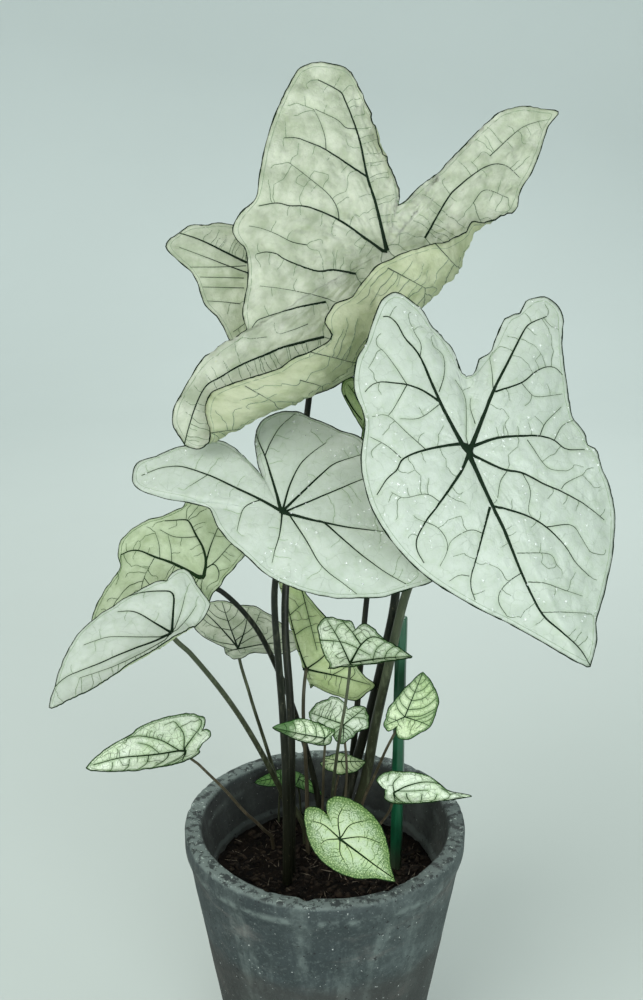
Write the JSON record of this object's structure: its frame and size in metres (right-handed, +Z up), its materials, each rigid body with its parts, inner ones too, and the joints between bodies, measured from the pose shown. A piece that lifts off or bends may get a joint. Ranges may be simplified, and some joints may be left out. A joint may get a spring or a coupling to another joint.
{
  "type": "potted caladium",
  "caption": "Tall white caladium with arrow-shaped, dark-veined leaves on slender dark stalks, held by a green stake in a round weathered dark pot.",
  "frame": {"origin": "middle of the pot's flat base, on the surface that the pot stands on", "axes": "+Z up along the pot's axis, -Y towards the side that the picture shows, +X to the viewer's right"},
  "size_m": [0.4349, 0.3304, 0.9187],
  "materials": {
    "pot": "rough weathered dark grey, stone-like, with pale patches and a worn rim",
    "soil": "dark brown crumbly potting soil",
    "stake": "green satin coat",
    "stalk_dark": "near-black smooth satin leaf stalk",
    "stalk_olive": "olive grey smooth satin leaf stalk",
    "stalk_brown": "brown smooth satin leaf stalk",
    "blade_white": "thin white leaf blade with dark veins, soft sheen",
    "blade_green": "thin pale green leaf blade with dark veins, soft sheen",
    "blade_dark": "thin dark green young leaf blade, soft sheen"
  },
  "bodies": {
    "root": {"pot": "pot", "soil": "soil", "stake": "stake", "blade_crown": "blade_white", "stalk_crown": "stalk_dark", "blade_back": "blade_white", "stalk_back": "stalk_dark", "blade_right": "blade_white", "stalk_right": "stalk_olive", "blade_middle": "blade_white", "stalk_middle": "stalk_dark", "blade_rear_right": "blade_green", "stalk_rear_right": "stalk_dark", "blade_left_rear": "blade_white", "stalk_left_rear": "stalk_dark", "blade_left_front": "blade_white", "stalk_left_front": "stalk_olive", "blade_rear_left": "blade_white", "stalk_rear_left": "stalk_olive", "blade_rear_upright": "blade_green", "stalk_rear_upright": "stalk_brown", "blade_centre": "blade_white", "stalk_centre": "stalk_olive", "blade_right_small": "blade_green", "stalk_right_small": "stalk_brown", "blade_centre_low": "blade_white", "stalk_centre_low": "stalk_brown", "blade_spear": "blade_dark", "stalk_spear": "stalk_brown", "blade_low_left": "blade_green", "stalk_low_left": "stalk_brown", "blade_right_low": "blade_white", "stalk_right_low": "stalk_brown", "blade_pale_low": "blade_green", "stalk_pale_low": "stalk_brown", "blade_front": "blade_green", "stalk_front": "stalk_olive", "blade_seedling_left": "blade_dark", "stalk_seedling_left": "stalk_olive", "blade_seedling_right": "blade_dark", "stalk_seedling_right": "stalk_olive"}
  },
  "joints": []
}
